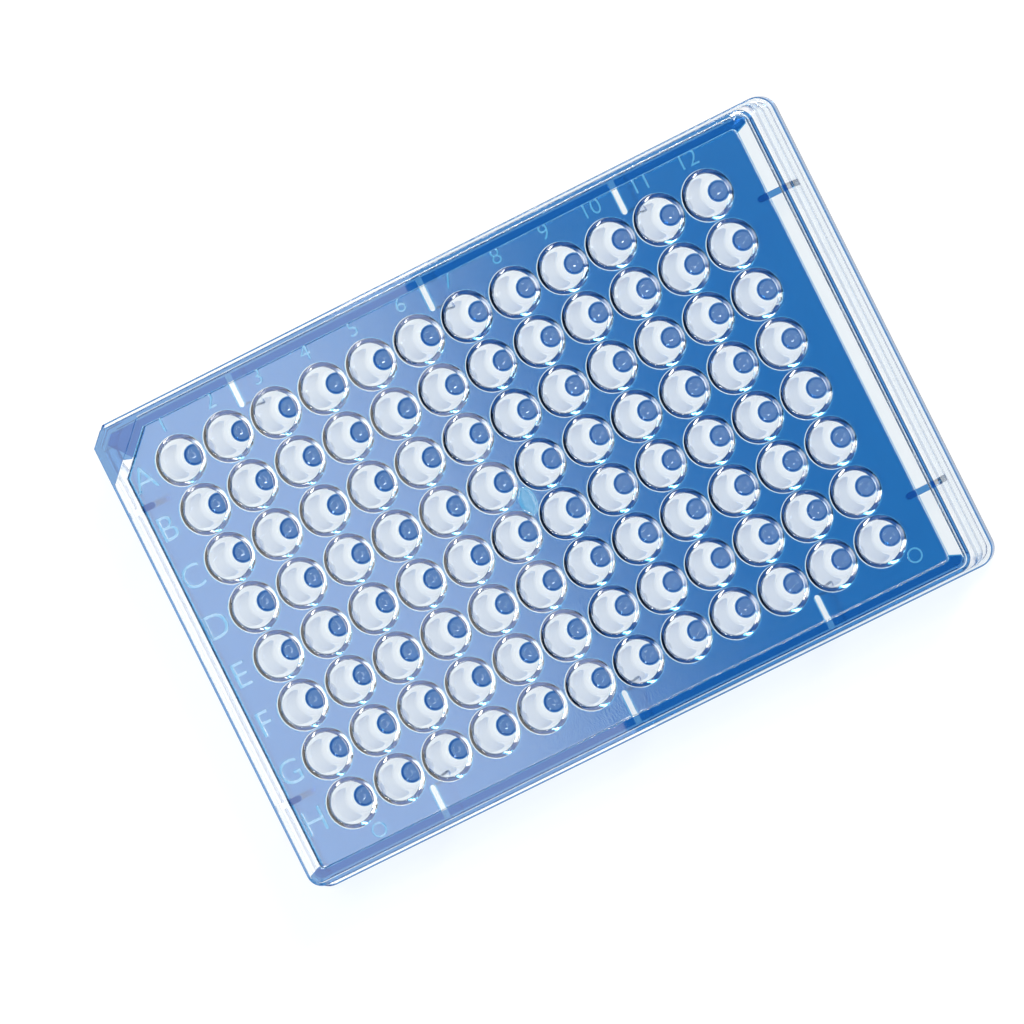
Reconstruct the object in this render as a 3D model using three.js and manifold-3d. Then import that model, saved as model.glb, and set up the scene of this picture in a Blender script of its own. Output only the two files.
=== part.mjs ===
// 96-well round-bottom microplate: one clear polystyrene moulding.
// Millimetres, +Z up. The plate stands on its flange with the origin under its centre.
// Columns 1 to 12 run along +X, and row A is the row at +Y, so well A1 is the one at -X, +Y.

import * as THREE from 'three';
import { mergeVertices } from 'three/addons/utils/BufferGeometryUtils.js';
import Module from 'manifold-3d';

const wasm = await Module();
wasm.setup();

// ---- Driving dimensions ----

// Overall
const plateLength = 127.76;
const plateWidth = 85.48;
const plateHeight = 14.35;

// Well grid, centred on the plate
const columns = 12;
const rows = 8;
const wellPitch = 9.0;

// One well: a tapered tube with a round bottom
const wellMouthRadius = 3.6;
const wellBottomRadius = 2.7;
const wellDepth = 10.8;
const wellWall = 0.7;
const wellSides = 8;
const wellBottomBands = 2;

// Deck, the sheet that carries the wells, and the frame that stands up round it
const deckThickness = 1.4;
const deckRecess = 0.9;
const frameWidthEnds = 2.4;
const frameWidthSides = 1.9;
const frameCornerRadius = 1.6;
const frameCornerCut = 8.4;

// Ledge outside the frame, where a lid's edge sits
const ledgeDrop = 1.45;
const ledgeWidth = 0.8;

// Skirt, which leans in towards the top
const skirtWall = 1.2;
const skirtLean = 0.25;
const skirtCornerRadius = 2.6;

// Flange round the foot of the skirt
const flangeHeight = 2.5;
const flangeReachEnds = 1.7;
const flangeReachSides = 0.6;
const flangeWall = 1.2;
const flangeCornerRadius = 3.18;
const outerCornerCut = 2.3;

// Gussets under the deck, between wells, tying the skirt to the deck
const gussetThickness = 1.1;
const gussetReachEnds = 4.1;
const gussetReachSides = 6.0;
const gussetFootHeight = 2.0;
const gussetRowGaps = [0, 6];
const gussetColumnGaps = [1, 5, 9];

// Cuts and joins run this far past the faces they meet
const overrun = 0.4;

// ---- Sizes worked out from them ----

const deckTop = plateHeight - deckRecess;
const deckUnderside = deckTop - deckThickness;
const ledgeTop = plateHeight - ledgeDrop;

const skirtFoot = {
  length: plateLength - 2 * flangeReachEnds,
  width: plateWidth - 2 * flangeReachSides,
};
const skirtTop = {
  length: skirtFoot.length - 2 * skirtLean,
  width: skirtFoot.width - 2 * skirtLean,
};
const frameOuter = {
  length: skirtTop.length - 2 * ledgeWidth,
  width: skirtTop.width - 2 * ledgeWidth,
};
const frameInner = {
  length: frameOuter.length - 2 * frameWidthEnds,
  width: frameOuter.width - 2 * frameWidthSides,
};

// ---- Helpers ----

// A closed geometry as a manifold solid
function solid(geometry) {
  const bare = geometry.clone();
  bare.deleteAttribute('normal');
  bare.deleteAttribute('uv');
  const merged = mergeVertices(bare, 1e-4);
  const corners = merged.index.array;
  const triangles = [];
  for (let i = 0; i < corners.length; i += 3) {
    const [a, b, c] = corners.slice(i, i + 3);
    if (a !== b && b !== c && c !== a) triangles.push(a, b, c);
  }
  return new wasm.Manifold(new wasm.Mesh({
    numProp: 3,
    vertProperties: new Float32Array(merged.attributes.position.array),
    triVerts: new Uint32Array(triangles),
  }));
}

// A manifold solid as a flat-shaded geometry
function geometryOf(body) {
  const mesh = body.getMesh();
  const geometry = new THREE.BufferGeometry();
  geometry.setAttribute('position', new THREE.BufferAttribute(mesh.vertProperties, 3));
  geometry.setIndex(new THREE.BufferAttribute(mesh.triVerts, 1));
  const flat = geometry.toNonIndexed();
  flat.computeVertexNormals();
  return flat;
}

// A rectangle about the origin with three round corners and the A1 corner cut off straight
function plateOutline({ length, width }, radius, a1Cut) {
  const x = length / 2;
  const y = width / 2;
  const shape = new THREE.Shape();
  shape.moveTo(-x, -y + radius);
  shape.absarc(-x + radius, -y + radius, radius, Math.PI, 1.5 * Math.PI);
  shape.absarc(x - radius, -y + radius, radius, 1.5 * Math.PI, 2 * Math.PI);
  shape.absarc(x - radius, y - radius, radius, 0, 0.5 * Math.PI);
  shape.lineTo(-x + a1Cut, y);
  shape.lineTo(-x, y - a1Cut);
  shape.closePath();
  return shape;
}

// A shape raised from one height to another
function raise(shape, from, to) {
  const geometry = new THREE.ExtrudeGeometry(shape, {
    depth: to - from,
    bevelEnabled: false,
    curveSegments: 5,
  });
  return geometry.translate(0, 0, from);
}

// Moves the top of a raised outline in by the same distance on all four sides
function leanIn(geometry, inset) {
  geometry.computeBoundingBox();
  const middle = (geometry.boundingBox.min.z + geometry.boundingBox.max.z) / 2;
  const position = geometry.attributes.position;
  for (let i = 0; i < position.count; i += 1) {
    if (position.getZ(i) > middle) {
      position.setX(i, position.getX(i) - Math.sign(position.getX(i)) * inset);
      position.setY(i, position.getY(i) - Math.sign(position.getY(i)) * inset);
    }
  }
  return geometry;
}

function joined(parts) {
  return parts.reduce((whole, part) => whole.add(part));
}

// ---- Shell: flange, skirt, frame and deck ----

function shellSolid() {
  const footprint = { length: plateLength, width: plateWidth };
  const flange = solid(raise(plateOutline(footprint, flangeCornerRadius, outerCornerCut), 0, flangeHeight));
  const skirt = solid(leanIn(
    raise(plateOutline(skirtFoot, skirtCornerRadius, outerCornerCut), overrun, ledgeTop),
    skirtLean,
  ));
  const frame = solid(raise(
    plateOutline(frameOuter, frameCornerRadius, frameCornerCut),
    deckUnderside + overrun,
    plateHeight,
  ));
  return joined([flange, skirt, frame]);
}

// The hollows in it: the space under the deck, the wider one inside the flange, and the recess on top
function shellHollows() {
  const inset = (size, wall) => ({ length: size.length - 2 * wall, width: size.width - 2 * wall });
  const round = (radius, wall) => Math.max(radius - wall, wall / 2);
  const footprint = { length: plateLength, width: plateWidth };
  const underDeck = solid(leanIn(
    raise(
      plateOutline(inset(skirtFoot, skirtWall), round(skirtCornerRadius, skirtWall), outerCornerCut),
      -overrun,
      deckUnderside,
    ),
    skirtLean,
  ));
  const inFlange = solid(raise(
    plateOutline(inset(footprint, flangeWall), round(flangeCornerRadius, flangeWall), outerCornerCut),
    -overrun,
    flangeHeight - flangeWall,
  ));
  const recess = solid(raise(
    plateOutline(frameInner, frameCornerRadius / 2, frameCornerCut - frameWidthSides),
    deckTop,
    plateHeight + overrun,
  ));
  return joined([underDeck, inFlange, recess]);
}

// ---- Wells ----

// A tapered round-bottomed plug hanging from the given height, turned about its own axis
function plug(mouthRadius, bottomRadius, top, lowest) {
  const centre = lowest + bottomRadius;
  const profile = [];
  for (let band = 0; band <= wellBottomBands; band += 1) {
    const angle = (band / wellBottomBands) * (Math.PI / 2);
    profile.push(new THREE.Vector2(
      bottomRadius * Math.sin(angle),
      centre - bottomRadius * Math.cos(angle),
    ));
  }
  profile[0].x = 0;
  profile.push(new THREE.Vector2(mouthRadius, top), new THREE.Vector2(0, top));
  return new THREE.LatheGeometry(profile, wellSides).rotateX(Math.PI / 2);
}

// The same plug at every place of the grid
function atEveryWell(geometry) {
  const copies = [];
  for (let column = 0; column < columns; column += 1) {
    for (let row = 0; row < rows; row += 1) {
      copies.push(solid(geometry).translate([
        (column - (columns - 1) / 2) * wellPitch,
        ((rows - 1) / 2 - row) * wellPitch,
        0,
      ]));
    }
  }
  return wasm.Manifold.union(copies);
}

const wellFloor = deckTop - wellDepth;

function tubeSolids() {
  return atEveryWell(plug(
    wellMouthRadius + wellWall,
    wellBottomRadius + wellWall,
    deckUnderside + overrun,
    wellFloor - wellWall,
  ));
}

function wellHollows() {
  // The taper goes on past the deck's top, so that the mouth has its true radius in the deck
  const taper = (wellMouthRadius - wellBottomRadius) / (wellDepth - wellBottomRadius);
  return atEveryWell(plug(
    wellMouthRadius + taper * overrun,
    wellBottomRadius,
    deckTop + overrun,
    wellFloor,
  ));
}

// ---- Gussets ----

// An upright fin with a round inner end; it starts in the skirt's wall and points along +X
function gusset(reach) {
  const half = gussetThickness / 2;
  const root = -(skirtWall + skirtLean) / 2;
  const shape = new THREE.Shape();
  shape.moveTo(root, -half);
  shape.lineTo(reach - half, -half);
  shape.absarc(reach - half, 0, half, -Math.PI / 2, Math.PI / 2);
  shape.lineTo(root, half);
  shape.closePath();
  return solid(raise(shape, gussetFootHeight, deckUnderside + overrun));
}

function gussetSolids() {
  const fins = [];
  const endWall = skirtTop.length / 2 - skirtWall;
  const sideWall = skirtTop.width / 2 - skirtWall;
  for (const gap of gussetRowGaps) {
    const y = (rows / 2 - 1 - gap) * wellPitch;
    fins.push(gusset(gussetReachEnds).translate([-endWall, y, 0]));
    fins.push(gusset(gussetReachEnds).rotate([0, 0, 180]).translate([endWall, y, 0]));
  }
  for (const gap of gussetColumnGaps) {
    const x = (gap + 1 - columns / 2) * wellPitch;
    fins.push(gusset(gussetReachSides).rotate([0, 0, 90]).translate([x, -sideWall, 0]));
    fins.push(gusset(gussetReachSides).rotate([0, 0, -90]).translate([x, sideWall, 0]));
  }
  return joined(fins);
}

// ---- The plate ----

const plate = shellSolid()
  .subtract(shellHollows())
  .add(tubeSolids())
  .add(gussetSolids())
  .subtract(wellHollows());

const clearPolystyrene = new THREE.MeshStandardMaterial({
  color: 0xbfd6f2,
  roughness: 0.05,
  metalness: 0,
});

const wellPlate = new THREE.Mesh(geometryOf(plate), clearPolystyrene);
wellPlate.name = 'well_plate';

const assembly = new THREE.Group();
assembly.add(wellPlate);

export default assembly;
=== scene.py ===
# A clear 96-well plate with round-bottom wells, lying on a plain pale floor.
# It is one injection moulding, so one finely meshed piece stands for the CAD node. The sections
# follow the moulding: deck and wells, border, gussets, raised marks, then the plastic itself.

from collections import namedtuple
from math import cos, hypot, pi, radians, sin

import bmesh
import bpy
from mathutils import Matrix, Vector


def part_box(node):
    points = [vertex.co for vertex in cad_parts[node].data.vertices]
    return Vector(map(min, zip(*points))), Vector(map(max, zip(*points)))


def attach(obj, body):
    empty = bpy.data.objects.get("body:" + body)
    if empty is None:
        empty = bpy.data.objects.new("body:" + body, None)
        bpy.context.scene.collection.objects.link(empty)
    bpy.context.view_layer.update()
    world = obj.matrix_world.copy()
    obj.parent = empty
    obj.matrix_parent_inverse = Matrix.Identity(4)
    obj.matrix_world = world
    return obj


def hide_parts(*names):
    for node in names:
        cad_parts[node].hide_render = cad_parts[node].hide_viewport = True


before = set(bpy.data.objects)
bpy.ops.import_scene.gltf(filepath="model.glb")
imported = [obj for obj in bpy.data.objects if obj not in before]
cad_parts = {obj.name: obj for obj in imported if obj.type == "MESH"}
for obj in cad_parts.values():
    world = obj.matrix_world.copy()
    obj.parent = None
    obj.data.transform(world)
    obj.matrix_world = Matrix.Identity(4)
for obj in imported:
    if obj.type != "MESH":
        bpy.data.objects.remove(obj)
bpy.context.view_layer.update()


# ---------------------------------------------------------------------------
# Deck and wells. A flat polystyrene deck 1.4 mm thick with 96 tubes hanging
# from it on a 9 mm pitch. A polished core pin shapes each bore, so it tapers
# a little and ends in a half round. Etched steel leaves the deck frosted.
# ---------------------------------------------------------------------------

MM = 0.001

PLATE_LOW, PLATE_HIGH = (Vector(corner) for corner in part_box("well_plate"))
PLATE_TOP = PLATE_HIGH.z

COLUMNS = 12
ROWS = 8
WELL_PITCH = 9.0 * MM
CELL_SIDE_POINTS = 8                # mesh points along each side of a well's square cell

DECK_SINK = 0.9 * MM                # from the frame's top down to the deck
DECK_THICKNESS = 1.4 * MM
DECK_TOP = PLATE_TOP - DECK_SINK
DECK_UNDERSIDE = DECK_TOP - DECK_THICKNESS

BORE_MOUTH_RADIUS = 3.6 * MM
BORE_BOTTOM_RADIUS = 2.7 * MM
BORE_DEPTH = 10.8 * MM
BOWL_CENTRE = DECK_TOP - BORE_DEPTH + BORE_BOTTOM_RADIUS    # height of the half rounds' centre
TUBE_WALL = 0.7 * MM
MOUTH_ROUNDING = 0.12 * MM
MOUTH_STEPS = 3                     # mesh steps down the rounded mouth
MOUTH_LAND = 0.80 * MM              # polished ring round each mouth
TUBE_ROOT_ROUNDING = 0.15 * MM
ROOT_MIDDLE = 0.3                   # share of that rounding left at its middle ring

# The last two finishes are painted shade: grey in the wells' bottoms, dark blue along rims, ledges
# and end fins.
POLISHED, ETCHED, SHADED_WINDOW, DEEP_SHADE = range(4)   # the finishes, in order of the material slots
STEEP_RINGS = 3                     # mesh rings down the steep part of a half round
STEEP_ENDS = 38                     # slope in degrees where it ends and the window's rim starts
WINDOW_SLOPES = (31, 20, 10)        # slope in degrees at each further ring
# The bowl's first window ring is painted dark blue as shade, and the rest are painted grey.
WINDOW_FINISHES = [DEEP_SHADE, SHADED_WINDOW, SHADED_WINDOW]


def well_centre(column, row):
    """Centre of a well, with column 0 at the left and row 0 at the back."""
    return ((column - (COLUMNS - 1) / 2) * WELL_PITCH, ((ROWS - 1) / 2 - row) * WELL_PITCH)


def block_edge(cx, cy, columns, rows, z):
    """The edge of a block of cells, from its front left corner anticlockwise."""
    half_x, half_y = columns * WELL_PITCH / 2, rows * WELL_PITCH / 2
    step = WELL_PITCH / CELL_SIDE_POINTS
    along = [k * step for k in range(columns * CELL_SIDE_POINTS)]
    across = [k * step for k in range(rows * CELL_SIDE_POINTS)]
    front = [(cx - half_x + s, cy - half_y, z) for s in along]
    right = [(cx + half_x, cy - half_y + s, z) for s in across]
    back = [(cx + half_x - s, cy + half_y, z) for s in along]
    left = [(cx - half_x, cy + half_y - s, z) for s in across]
    return front + right + back + left


def bore_ring(cx, cy, radius, z):
    """A ring of as many points as the edge of one cell, starting at the same corner."""
    sides = 4 * CELL_SIDE_POINTS
    turns = [5 * pi / 4 + 2 * pi * k / sides for k in range(sides)]
    return [(cx + radius * cos(turn), cy + radius * sin(turn), z) for turn in turns]


def half_round(radius, centre_z):
    """Radius and height of each ring of a downward half round, all but its lowest point."""
    steep = [radians(90 - STEEP_ENDS) * ring / STEEP_RINGS for ring in range(STEEP_RINGS + 1)]
    angles = steep + [radians(90 - slope) for slope in WINDOW_SLOPES]
    return [(radius * cos(angle), centre_z - radius * sin(angle)) for angle in angles]


def bore_section():
    """Radius and height down the inside of a tube, from the land round its mouth."""
    section = [(BORE_MOUTH_RADIUS + MOUTH_LAND, DECK_TOP)]
    for step in range(MOUTH_STEPS + 1):
        angle = pi / 2 * step / MOUTH_STEPS
        outwards = MOUTH_ROUNDING * (1 - sin(angle))
        down = MOUTH_ROUNDING * (1 - cos(angle))
        section.append((BORE_MOUTH_RADIUS + outwards, DECK_TOP - down))
    return section + half_round(BORE_BOTTOM_RADIUS, BOWL_CENTRE)


def tube_section():
    """Radius and height down the outside of a tube, from its root under the deck."""
    root = BORE_MOUTH_RADIUS + TUBE_WALL
    middle = TUBE_ROOT_ROUNDING * ROOT_MIDDLE
    fillet = [
        (root + TUBE_ROOT_ROUNDING, DECK_UNDERSIDE),
        (root + middle, DECK_UNDERSIDE - middle),
        (root, DECK_UNDERSIDE - TUBE_ROOT_ROUNDING),
    ]
    return fillet + half_round(BORE_BOTTOM_RADIUS + TUBE_WALL, BOWL_CENTRE)


def new_ring(skin, points):
    """Mesh points in a ring, not yet joined."""
    return [skin.verts.new(point) for point in points]


def join_rings(skin, inner, outer, finish):
    """Faces between two rings of the same number of points."""
    faces = []
    for k in range(len(inner)):
        after = (k + 1) % len(inner)
        faces.append(skin.faces.new([inner[k], outer[k], outer[after], inner[after]]))
        faces[-1].material_index = finish
    return faces


def close_ring(skin, ring, tip, finish):
    """Faces from a ring to one point at its middle."""
    point = skin.verts.new(tip)
    for k in range(len(ring)):
        face = skin.faces.new([ring[k], ring[(k + 1) % len(ring)], point])
        face.material_index = finish


skin = bmesh.new()
for column in range(COLUMNS):
    for row in range(ROWS):
        cx, cy = well_centre(column, row)
        for section, deck_z, lowest in (
            (bore_section(), DECK_TOP, DECK_TOP - BORE_DEPTH),
            (tube_section(), DECK_UNDERSIDE, DECK_TOP - BORE_DEPTH - TUBE_WALL),
        ):
            outer = new_ring(skin, block_edge(cx, cy, 1, 1, deck_z))
            walls = [POLISHED] * (len(section) - 1 - len(WINDOW_SLOPES))
            finishes = [ETCHED] + walls + WINDOW_FINISHES
            for (radius, z), finish in zip(section, finishes):
                inner = new_ring(skin, bore_ring(cx, cy, radius, z))
                join_rings(skin, inner, outer, finish)
                outer = inner
            close_ring(skin, outer, (cx, cy, lowest), SHADED_WINDOW)


# ---------------------------------------------------------------------------
# Border. The same moulding runs out over a low frame, a ledge, a thin leaning
# skirt and a foot flange. One corner is cut straight, by well A1, so that the
# plate can't be read the wrong way round. Rims and ledges are painted dark
# blue, a painted shade for the dark lines that edges seen edge-on show.
# ---------------------------------------------------------------------------

FOOTPRINT = (PLATE_HIGH.x, PLATE_HIGH.y)    # half length and half width, here and below
SKIRT_WALL = 1.2 * MM
SKIRT_LEAN = 0.25 * MM
FLANGE_WIDTH_ENDS = 1.7 * MM
FLANGE_WIDTH_SIDES = 0.6 * MM
SKIRT_FOOT = (FOOTPRINT[0] - FLANGE_WIDTH_ENDS, FOOTPRINT[1] - FLANGE_WIDTH_SIDES)
SKIRT_TOP = (SKIRT_FOOT[0] - SKIRT_LEAN, SKIRT_FOOT[1] - SKIRT_LEAN)
LEDGE_WIDTH = 0.8 * MM
LEDGE_DROP = 1.45 * MM                      # from the frame's top down to the ledge
LEDGE_TOP = PLATE_TOP - LEDGE_DROP
FRAME_OUTER = (SKIRT_TOP[0] - LEDGE_WIDTH, SKIRT_TOP[1] - LEDGE_WIDTH)
FRAME_WIDTH_ENDS = 2.4 * MM
FRAME_WIDTH_SIDES = 1.9 * MM
FRAME_INNER = (FRAME_OUTER[0] - FRAME_WIDTH_ENDS, FRAME_OUTER[1] - FRAME_WIDTH_SIDES)
FLANGE_TOP = 2.5 * MM
FLANGE_WALL = 1.2 * MM
FLANGE_EDGE = 0.42 * MM                     # rim of the flange, painted dark blue as shade

FLANGE_CORNER = 3.18 * MM
SKIRT_CORNER = 2.6 * MM
FRAME_CORNER = 1.6 * MM
CORNER_POINTS = 4                           # mesh points on each half of a corner
OUTER_CUT = 2.3 * MM                        # legs of the straight cut by well A1
FRAME_CUT = 8.4 * MM
DECK_MARGIN = 0.5 * MM                      # flat strip of deck that meets the border

EDGE_ROUNDING = 0.16 * MM
ROUNDING_LIMIT = 0.45                       # share of a face that one rounding may take
ROUNDING_FULLNESS = 0.42                    # how near a rounding's middle comes to the edge
SAME_POINT = 0.002 * MM                     # points closer than this are one point

CLEAR = (POLISHED, POLISHED)                # finish on the long sides and on the ends
FROSTED = (ETCHED, ETCHED)
BLUE_SHADE = (DEEP_SHADE, DEEP_SHADE)

Level = namedtuple("Level", "place shape finishes")


def outline(size, z, shape, finishes):
    """One level of the border. Its finishes are those of the face on to the next level."""
    return Level(Vector((*size, z)), shape, finishes)


def inset(size, by):
    """A half length and half width, each smaller by the same amount."""
    return (size[0] - by, size[1] - by)


def round_edges(levels, radius):
    """Each edge between two faces of the section becomes a small curve of three levels."""
    rounded = [levels[0]]
    for before, level, after in zip(levels, levels[1:], levels[2:]):
        edge = level.place
        into = before.place - edge
        out = after.place - edge
        start = edge + into * min(radius / hypot(into.x, into.z), ROUNDING_LIMIT)
        end = edge + out * min(radius / hypot(out.x, out.z), ROUNDING_LIMIT)
        middle = start.lerp(end, 0.5).lerp(edge, ROUNDING_FULLNESS)
        rounded.append(Level(start, level.shape, before.finishes))
        rounded.append(Level(middle, level.shape, before.finishes))
        rounded.append(Level(end, level.shape, level.finishes))
    return rounded + [levels[-1]]


def border_ring(level):
    """Points round one level, point for point with the edge of the whole block of cells."""
    (x, y, z), (corner, cut) = level.place, level.shape
    shares = [step / (2 * CORNER_POINTS) for step in range(2 * CORNER_POINTS + 1)]
    corners = []
    for number, (sx, sy) in enumerate(((-1, -1), (1, -1), (1, 1))):
        cx, cy = sx * (x - corner), sy * (y - corner)
        turns = [pi + (number + share) * pi / 2 for share in shares]
        corners.append([(cx + corner * cos(turn), cy + corner * sin(turn)) for turn in turns])
    corners.append([(-x + cut * (1 - share), y - cut * share) for share in shares])
    points = []
    for number in range(4):
        here, following = corners[number], corners[(number + 1) % 4]
        count = CELL_SIDE_POINTS * (COLUMNS if number % 2 == 0 else ROWS) - 2 * CORNER_POINTS
        start, end = Vector(here[-1]), Vector(following[0])
        points += here[CORNER_POINTS:]
        points += [tuple(start.lerp(end, step / count)) for step in range(1, count)]
        points += following[:CORNER_POINTS]
    return [(px, py, z) for px, py in points]


recess_shape = (FRAME_CORNER / 2, FRAME_CUT - FRAME_WIDTH_SIDES)    # corner radius and cut
frame_shape = (FRAME_CORNER, FRAME_CUT)
skirt_shape = (SKIRT_CORNER, OUTER_CUT)
skirt_hollow = inset(SKIRT_TOP, SKIRT_WALL)
skirt_hollow_shape = (SKIRT_CORNER - SKIRT_WALL, OUTER_CUT)
flange_shape = (FLANGE_CORNER, OUTER_CUT)
flange_rim = inset(FOOTPRINT, FLANGE_EDGE)
flange_rim_shape = (FLANGE_CORNER - FLANGE_EDGE, OUTER_CUT)
flange_hollow = inset(FOOTPRINT, FLANGE_WALL)
flange_hollow_shape = (FLANGE_CORNER - FLANGE_WALL, OUTER_CUT)
flange_roof = FLANGE_TOP - FLANGE_WALL
levels = [
    outline(inset(FRAME_INNER, DECK_MARGIN), DECK_TOP, recess_shape, FROSTED),
    outline(FRAME_INNER, DECK_TOP, recess_shape, CLEAR),
    # The frame's inner wall is painted dark blue as shade, on the long sides only.
    outline(FRAME_INNER, PLATE_TOP, recess_shape, (DEEP_SHADE, POLISHED)),
    outline(FRAME_OUTER, PLATE_TOP, frame_shape, CLEAR),
    # The ledge's drop and the flange's rim and top are painted dark blue as shade.
    outline(FRAME_OUTER, LEDGE_TOP, frame_shape, BLUE_SHADE),
    outline(SKIRT_TOP, LEDGE_TOP, skirt_shape, CLEAR),
    outline(SKIRT_FOOT, FLANGE_TOP, skirt_shape, CLEAR),
    outline(flange_rim, FLANGE_TOP, flange_rim_shape, BLUE_SHADE),
    outline(FOOTPRINT, FLANGE_TOP, flange_shape, BLUE_SHADE),
    outline(FOOTPRINT, 0.0, flange_shape, CLEAR),
    outline(flange_hollow, 0.0, flange_hollow_shape, CLEAR),
    outline(flange_hollow, flange_roof, flange_hollow_shape, CLEAR),
    outline(inset(SKIRT_FOOT, SKIRT_WALL), flange_roof, skirt_hollow_shape, CLEAR),
    outline(skirt_hollow, DECK_UNDERSIDE, skirt_hollow_shape, (ETCHED, POLISHED)),
    outline(FRAME_INNER, DECK_UNDERSIDE, recess_shape, FROSTED),
]
levels = round_edges(levels, EDGE_ROUNDING)
rings = [new_ring(skin, block_edge(0, 0, COLUMNS, ROWS, DECK_TOP))]
rings += [new_ring(skin, border_ring(level)) for level in levels]
rings += [new_ring(skin, block_edge(0, 0, COLUMNS, ROWS, DECK_UNDERSIDE))]
finishes = [FROSTED] + [level.finishes for level in levels]
for inner, outer, (on_sides, on_ends) in zip(rings, rings[1:], finishes):
    for face in join_rings(skin, inner, outer, on_sides):
        middle = face.calc_center_median()
        if FOOTPRINT[0] - abs(middle.x) < FOOTPRINT[1] - abs(middle.y):
            face.material_index = on_ends

bmesh.ops.remove_doubles(skin, verts=skin.verts, dist=SAME_POINT)
bmesh.ops.recalc_face_normals(skin, faces=skin.faces)


def piece_from(mesh_builder, name):
    """An object in the scene, made from a finished bmesh."""
    mesh = bpy.data.meshes.new(name)
    mesh_builder.to_mesh(mesh)
    mesh_builder.free()
    piece = bpy.data.objects.new(name, mesh)
    bpy.context.scene.collection.objects.link(piece)
    return piece


plate = piece_from(skin, "plate_moulding")


# ---------------------------------------------------------------------------
# Gussets. Ten upright fins stiffen the skirt: two on each end and three on
# each side. Each runs from the skirt's inner face to a rounded nose under the
# deck, and stops 2 mm short of the foot.
# ---------------------------------------------------------------------------

GUSSET_THICKNESS = 1.1 * MM
GUSSET_REACH_ENDS = 4.1 * MM
GUSSET_REACH_SIDES = 6.0 * MM
GUSSET_FOOT = 2.0 * MM
GUSSET_ROW_GAPS = (0, 6)                    # 0 is the gap between rows A and B
GUSSET_COLUMN_GAPS = (1, 5, 9)              # 1 is the gap between columns 2 and 3
NOSE_STEPS = 8                              # mesh steps round a nose
INTO_PLASTIC = 0.4 * MM                     # how far a joined part runs into the plate


def add_gusset(fins, start, reach, heights, place_x, place_y, turn, finish):
    """An upright fin with a rounded nose, from its start to its reach along the turned x axis."""
    half = GUSSET_THICKNESS / 2
    turns = [pi * step / NOSE_STEPS for step in range(NOSE_STEPS + 1)]
    nose = [(reach - half + half * sin(angle), -half * cos(angle)) for angle in turns]
    plan = [(start, -half), *nose, (start, half)]
    foot = [fins.verts.new((x, y, heights[0])) for x, y in plan]
    head = [fins.verts.new((x, y, heights[1])) for x, y in plan]
    faces = [fins.faces.new(reversed(foot)), fins.faces.new(head)]
    for k in range(len(plan)):
        after = (k + 1) % len(plan)
        faces.append(fins.faces.new([foot[k], foot[after], head[after], head[k]]))
    for face in faces:
        face.material_index = finish
    place = Matrix.Translation((place_x, place_y, 0)) @ Matrix.Rotation(radians(turn), 4, "Z")
    bmesh.ops.transform(fins, matrix=place, verts=foot + head)


gusset_places = []                          # x, y, turn, whether it is on an end
for gap in GUSSET_ROW_GAPS:
    y = (ROWS / 2 - 1 - gap) * WELL_PITCH
    gusset_places += [(-skirt_hollow[0], y, 0, True), (skirt_hollow[0], y, 180, True)]
for gap in GUSSET_COLUMN_GAPS:
    x = (gap + 1 - COLUMNS / 2) * WELL_PITCH
    gusset_places += [(x, -skirt_hollow[1], 90, False), (x, skirt_hollow[1], -90, False)]

fin_heights = (GUSSET_FOOT, DECK_UNDERSIDE + INTO_PLASTIC)
fins = bmesh.new()
for x, y, turn, on_end in gusset_places:
    # End fins are painted dark blue as shade. Side fins stay clear.
    reach, finish = (GUSSET_REACH_ENDS, DEEP_SHADE) if on_end else (GUSSET_REACH_SIDES, POLISHED)
    add_gusset(fins, -INTO_PLASTIC, reach, fin_heights, x, y, turn, finish)
gussets = piece_from(fins, "gusset_fins")


# ---------------------------------------------------------------------------
# Raised marks. Row letters and column numbers stand 0.15 mm proud of the deck,
# cut into the mould as shallow grooves. The gate leaves an oval mark at the
# middle, two ejector pins leave faint rings, and each gusset a faint ridge.
# ---------------------------------------------------------------------------

MARK_HEIGHT = 0.15 * MM
LETTER_HEIGHT = 4.2 * MM
NUMBER_HEIGHT = 2.7 * MM
LETTERS_FROM_COLUMN = 6.9 * MM              # column 1 to the middle of a letter
NUMBERS_FROM_ROW = 6.7 * MM                 # row A to the middle of a number
STROKE_THINNING = -0.006                    # taken off the font's strokes, in font units
FONT_DEPTH = 0.1                            # half depth of a fresh letter, in font units
CURVE_STEPS = 4                             # mesh steps along each curve of a letter
MARK_ROOT = 0.1 * MM                        # how far a mark runs into the deck
GLYPH_SAME_POINT = 0.02 * MM                # clears the tiny folds that thinning leaves in a letter
OVAL_SIDES = 40
GATE_RADII = (1.5 * MM, 2.5 * MM)
RIM_WIDTH = 0.3 * MM                        # rim of the gate mark and of a pin's ring
RIDGE_HEIGHT = 0.04 * MM
PIN_RADII = (1.3 * MM, 1.3 * MM)
PIN_MARK_HEIGHT = 0.05 * MM
PINS = (                                    # column, then right and back from its well in row H
    (0, 2.3 * MM, -6.0 * MM),
    (11, 4.3 * MM, -4.5 * MM),
)


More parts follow.
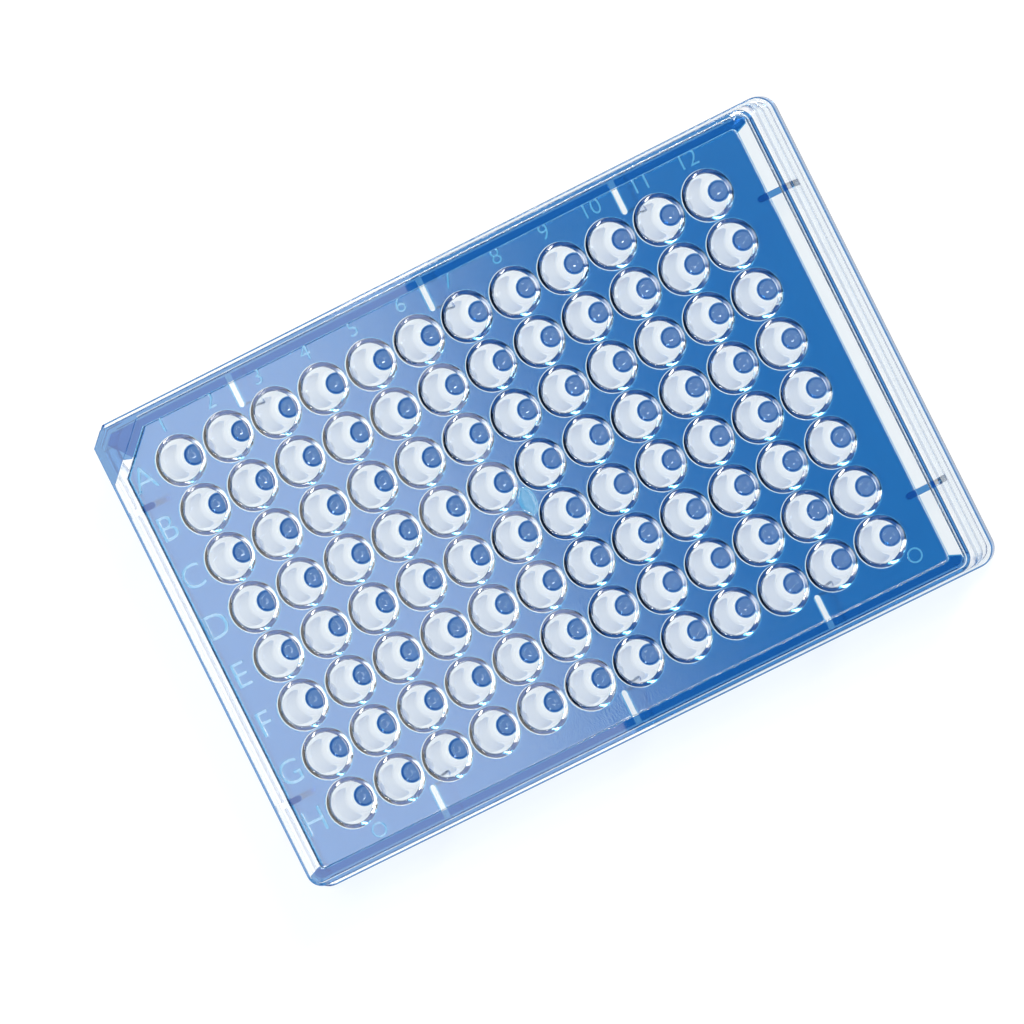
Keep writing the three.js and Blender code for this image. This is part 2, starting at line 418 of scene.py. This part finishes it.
def add_mark(marks, words, height, x, y):
    """A raised word or number, centred at x, y on the deck."""
    text = bpy.data.curves.new("mark_" + words, "FONT")
    text.body = words
    text.extrude = FONT_DEPTH
    text.offset = STROKE_THINNING
    text.resolution_u = CURVE_STEPS
    holder = bpy.data.objects.new("mark_" + words, text)
    bpy.context.scene.collection.objects.link(holder)
    depsgraph = bpy.context.evaluated_depsgraph_get()
    solid = bpy.data.meshes.new_from_object(holder.evaluated_get(depsgraph))
    bpy.data.objects.remove(holder)
    across = [vert.co.x for vert in solid.vertices]
    upward = [vert.co.y for vert in solid.vertices]
    middle_x = (min(across) + max(across)) / 2
    middle_y = (min(upward) + max(upward)) / 2
    scale = height / (max(upward) - min(upward))
    start = len(marks.verts)
    marks.from_mesh(solid)
    bpy.data.meshes.remove(solid)
    marks.verts.ensure_lookup_table()
    for vert in marks.verts[start:]:
        vert.co.x = x + (vert.co.x - middle_x) * scale
        vert.co.y = y + (vert.co.y - middle_y) * scale
        vert.co.z = DECK_TOP + (MARK_HEIGHT if vert.co.z > 0 else -MARK_ROOT)


def add_oval_mark(marks, x, y, radii, height, floor_finish):
    """A raised oval with a polished rim and a shallow dish inside it."""
    rim = RIM_WIDTH / radii[0]
    section = ((1, -MARK_ROOT), (1, height / 2), (1 - rim / 2, height), (1 - rim, height / 3))
    turns = [2 * pi * side / OVAL_SIDES for side in range(OVAL_SIDES)]
    rings = []
    for share, z in section:
        rx, ry = share * radii[0], share * radii[1]
        points = [(x + rx * cos(turn), y + ry * sin(turn), DECK_TOP + z) for turn in turns]
        rings.append(new_ring(marks, points))
    for outer, inner in zip(rings, rings[1:]):
        join_rings(marks, inner, outer, POLISHED)
    marks.faces.new(reversed(rings[0]))
    marks.faces.new(rings[-1]).material_index = floor_finish


marks = bmesh.new()
for row in range(ROWS):
    x, y = well_centre(0, row)
    add_mark(marks, "ABCDEFGH"[row], LETTER_HEIGHT, x - LETTERS_FROM_COLUMN, y)
for column in range(COLUMNS):
    x, y = well_centre(column, 0)
    add_mark(marks, str(column + 1), NUMBER_HEIGHT, x, y + NUMBERS_FROM_ROW)

# Each ridge lies over its gusset. It starts at the frame, and on the sides a little inside it.
end_start = skirt_hollow[0] - FRAME_INNER[0]
side_start = skirt_hollow[1] - FRAME_INNER[1] - INTO_PLASTIC
ridge_heights = (DECK_TOP - MARK_ROOT, DECK_TOP + RIDGE_HEIGHT)
# Ridges over the end fins are painted dark blue as shade, like the fins.
for x, y, turn, on_end in gusset_places:
    if on_end:
        add_gusset(marks, end_start, GUSSET_REACH_ENDS, ridge_heights, x, y, turn, DEEP_SHADE)
    else:
        add_gusset(marks, side_start, GUSSET_REACH_SIDES, ridge_heights, x, y, turn, POLISHED)

add_oval_mark(marks, 0, 0, GATE_RADII, MARK_HEIGHT, POLISHED)
for column, right, back in PINS:
    x, y = well_centre(column, ROWS - 1)
    add_oval_mark(marks, x + right, y + back, PIN_RADII, PIN_MARK_HEIGHT, ETCHED)
bmesh.ops.remove_doubles(marks, verts=marks.verts, dist=GLYPH_SAME_POINT)
bmesh.ops.recalc_face_normals(marks, faces=marks.faces)
raised_marks = piece_from(marks, "raised_marks")


# ---------------------------------------------------------------------------
# The plastic. Fins and marks are part of the one shot, so they are joined to
# the plate. It is clear polystyrene, glossy where the steel was polished and
# finely frosted where it was etched. Part of its tint is painted shade: the
# deck far bluer than the near-clear walls, the wells' bottoms grey, and rims,
# ledges and end fins dark blue.
# ---------------------------------------------------------------------------

SHARP_EDGE = radians(40)


def weld(piece, *others):
    """Joins other closed solids to the piece, and keeps the result as its mesh."""
    for other in others:
        union = piece.modifiers.new("weld_" + other.name, "BOOLEAN")
        union.operation = "UNION"
        union.solver = "MANIFOLD"
        union.object = other
    depsgraph = bpy.context.evaluated_depsgraph_get()
    welded = bpy.data.meshes.new_from_object(piece.evaluated_get(depsgraph))
    piece.modifiers.clear()
    piece.data = welded
    for other in others:
        bpy.data.objects.remove(other)


def smooth_faces(piece):
    """Shades faces smooth across soft edges and breaks the shading at sharp ones."""
    faces = bmesh.new()
    faces.from_mesh(piece.data)
    for face in faces.faces:
        face.smooth = True
    for edge in faces.edges:
        edge.smooth = edge.is_manifold and edge.calc_face_angle() < SHARP_EDGE
    faces.to_mesh(piece.data)
    faces.free()
    weighted = piece.modifiers.new("even_shading", "WEIGHTED_NORMAL")
    weighted.keep_sharp = True


def linear(hex_colour):
    """An sRGB hex colour as linear values for a shader."""
    parts = [int(hex_colour[k:k + 2], 16) / 255 for k in (1, 3, 5)]
    return [p / 12.92 if p <= 0.04045 else ((p + 0.055) / 1.055) ** 2.4 for p in parts] + [1.0]


def add_node(tree, kind, inputs=(), **settings):
    """A node with its settings. Each input takes a plain value or another node's output."""
    node = tree.nodes.new("ShaderNode" + kind)
    for name, value in settings.items():
        setattr(node, name, value)
    for socket, value in dict(inputs).items():
        if isinstance(value, bpy.types.NodeSocket):
            tree.links.new(value, node.inputs[socket])
        else:
            node.inputs[socket].default_value = value
    return node


def new_material(name):
    """An empty material, with its node tree."""
    material = bpy.data.materials.new(name)
    material.use_nodes = True
    material.node_tree.nodes.clear()
    return material, material.node_tree


POLYSTYRENE_IOR = 1.59
# The walls' tint is near clear. The deck's far bluer tint, the windows' grey and the dark blue on
# rims are painted shade.
PALE_TINT = "#fafcff"
DECK_SHADE_TINT = "#1c72ba"
WINDOW_SHADE_TINT = "#6488bd"
DEEP_SHADE_TINT = "#17509f"
SHADOW_TINT = "#e1eff8"                     # what a lamp's light keeps through each face
POLISHED_ROUGHNESS = 0.02
ETCHED_ROUGHNESS = 0.14


def bumpy_normal(tree, per_metre, detail, strength, depth):
    """The normal of a surface with soft bumps, from how many there are in a metre."""
    place = add_node(tree, "TexCoord").outputs["Object"]
    noise = add_node(tree, "TexNoise", {"Vector": place, "Scale": per_metre, "Detail": detail})
    bump = add_node(tree, "Bump", {
        "Height": noise.outputs["Fac"],
        "Strength": strength,
        "Distance": depth,
    })
    return bump.outputs["Normal"]


def finish_plastic(tree, tint, roughness, more=()):
    """Ends a material as polystyrene that lamps shine through, as they do through the real one."""
    surface = add_node(tree, "BsdfPrincipled", {
        "Base Color": linear(tint),
        "Roughness": roughness,
        "IOR": POLYSTYRENE_IOR,
        "Transmission Weight": 1.0,
        **dict(more),
    })
    mixed = add_node(tree, "MixShader", {
        0: add_node(tree, "LightPath").outputs["Is Shadow Ray"],
        1: surface.outputs["BSDF"],
        2: add_node(tree, "BsdfTransparent", {"Color": linear(SHADOW_TINT)}).outputs["BSDF"],
    })
    add_node(tree, "OutputMaterial", {"Surface": mixed.outputs["Shader"]})


# Polished: glassy walls with hard highlights, and faint ripples 5 to 6 mm long from the flow.
polished, tree = new_material("polystyrene_polished")
ripples = bumpy_normal(tree, per_metre=180.0, detail=2.0, strength=0.25, depth=0.03 * MM)
finish_plastic(tree, PALE_TINT, POLISHED_ROUGHNESS, {"Normal": ripples})

# Etched: a faint frost of specks about 0.35 mm apart, painted dark blue as shade, far bluer than
# the near-clear walls. The coat is the sheen that lamps leave on it.
etched_shaded, tree = new_material("polystyrene_etched_painted_shade")
frost = bumpy_normal(tree, per_metre=2900.0, detail=3.0, strength=0.4, depth=0.05 * MM)
finish_plastic(tree, DECK_SHADE_TINT, ETCHED_ROUGHNESS, {
    "Transmission Weight": 0.97,
    "Coat Weight": 1.0,
    "Coat Roughness": 0.18,
    "Coat IOR": 1.6,
    "Normal": frost,
    "Coat Normal": frost,
})

# Polished, in the wells' bottoms: a clear window, painted grey-blue as shade for the light that it
# bends away.
shaded_window, tree = new_material("polystyrene_window_painted_shade")
finish_plastic(tree, WINDOW_SHADE_TINT, POLISHED_ROUGHNESS)

# Polished, on rims, ledges and end fins, and painted dark blue: a painted shade for the dark lines
# these edges show.
deep_shade, tree = new_material("polystyrene_deep_painted_shade")
finish_plastic(tree, DEEP_SHADE_TINT, POLISHED_ROUGHNESS)

for part in (plate, gussets, raised_marks):
    for finish in (polished, etched_shaded, shaded_window, deep_shade):
        part.data.materials.append(finish)
weld(plate, gussets, raised_marks)
smooth_faces(plate)
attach(plate, "root")
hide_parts("well_plate")


# ---------------------------------------------------------------------------
# Floor. A plain sheet of matt laminate, wide enough for every view. To lamps
# it is mid grey, so that it keeps the shadow. To the camera, and seen in or
# through the plastic, it also glows, which lifts it to white.
# ---------------------------------------------------------------------------

FLOOR_HALF = 3.0
FLOOR_DROP = 0.02 * MM                      # gap under the plate's foot
FLOOR_GREY = "#868686"
FLOOR_ROUGHNESS = 0.8
FLOOR_GLOW = 0.78

sheet = bmesh.new()
bmesh.ops.create_grid(sheet, x_segments=1, y_segments=1, size=FLOOR_HALF)
floor = piece_from(sheet, "floor")
floor.location.z = PLATE_LOW.z - FLOOR_DROP

laminate, tree = new_material("laminate_matt_white")
path = add_node(tree, "LightPath").outputs
seen = path["Is Camera Ray"]
for kind in ("Is Transmission Ray", "Is Glossy Ray"):
    seen = add_node(tree, "Math", {0: seen, 1: path[kind]}, operation="MAXIMUM").outputs[0]
glow = add_node(tree, "Math", {0: seen, 1: FLOOR_GLOW}, operation="MULTIPLY")
surface = add_node(tree, "BsdfPrincipled", {
    "Base Color": linear(FLOOR_GREY),
    "Roughness": FLOOR_ROUGHNESS,
    "Emission Color": linear("#ffffff"),
    "Emission Strength": glow.outputs[0],
})
add_node(tree, "OutputMaterial", {"Surface": surface.outputs["BSDF"]})
floor.data.materials.append(laminate)


# ---------------------------------------------------------------------------
# Light. A broad softbox at the back right rakes the wells, and a long strip
# over the back draws glints in them. A small one low over the first columns
# lays a pale sheen on that end of the deck, and a dim blue room fills the rest.
# ---------------------------------------------------------------------------

ROOM_BLUE = "#2c5ca0"
LAMP_WHITE = "#fff7e4"                      # a little warm, so that lamps and room add up to white


def softbox(name, place, aim, width, height, watts):
    """A rectangular lamp. Its place, the point it aims at and its size are in metres."""
    light = bpy.data.lights.new(name, "AREA")
    light.shape = "RECTANGLE"
    light.size = width
    light.size_y = height
    light.energy = watts
    light.color = linear(LAMP_WHITE)[:3]
    lamp = bpy.data.objects.new(name, light)
    lamp.location = place
    lamp.rotation_mode = "QUATERNION"
    lamp.rotation_quaternion = (Vector(aim) - Vector(place)).to_track_quat("-Z", "Y")
    bpy.context.scene.collection.objects.link(lamp)


softbox("key_softbox", (0.70, 0.60, 0.77), (0, 0, 0), 0.35, 0.35, watts=16.0)
softbox("strip_softbox", (-0.05, 0.34, 0.95), (-0.05, 0.002, 0), 0.40, 0.10, watts=3.4)
softbox("left_softbox", (-0.138, -0.01, 0.30), (-0.138, -0.01, 0), 0.14, 0.22, watts=0.28)

room = bpy.data.worlds.new("dim_blue_room")
room.use_nodes = True
background = room.node_tree.nodes["Background"]
background.inputs["Color"].default_value = linear(ROOM_BLUE)
scene = bpy.context.scene
scene.world = room
scene.view_settings.view_transform = "Standard"
scene.cycles.caustics_reflective = False
scene.cycles.caustics_refractive = False
scene.cycles.glossy_bounces = 9
scene.cycles.transmission_bounces = 12
scene.cycles.max_bounces = 14


# ---------------------------------------------------------------------------
# Camera. A long lens 2 m away looks down from over the last column, with the
# plate's length rising to the right.
# ---------------------------------------------------------------------------

CAMERA_TILT = radians(13)
CAMERA_ROLL = radians(26.5)
CAMERA_DISTANCE = 2.0
CAMERA_LENS = 429.5                         # focal length and sensor in millimetres
CAMERA_SENSOR = 36.0
CAMERA_CLIP = (0.1, 20.0)
LOOK_RIGHT = -2.6 * MM                      # from the plate's middle, as the camera sees it
LOOK_UP = -1.8 * MM

towards = Vector((sin(CAMERA_TILT), 0, cos(CAMERA_TILT)))
length_way = Vector((cos(CAMERA_TILT), 0, -sin(CAMERA_TILT)))
width_way = towards.cross(length_way)
right = cos(CAMERA_ROLL) * length_way - sin(CAMERA_ROLL) * width_way
up = sin(CAMERA_ROLL) * length_way + cos(CAMERA_ROLL) * width_way
target = Vector((0, 0, DECK_TOP)) + right * LOOK_RIGHT + up * LOOK_UP

lens = bpy.data.cameras.new("camera")
lens.lens = CAMERA_LENS
lens.sensor_width = CAMERA_SENSOR
lens.clip_start, lens.clip_end = CAMERA_CLIP
camera = bpy.data.objects.new("camera", lens)
stand = Matrix.Translation(target + towards * CAMERA_DISTANCE)
camera.matrix_world = stand @ Matrix((right, up, towards)).transposed().to_4x4()
scene.collection.objects.link(camera)
scene.camera = camera
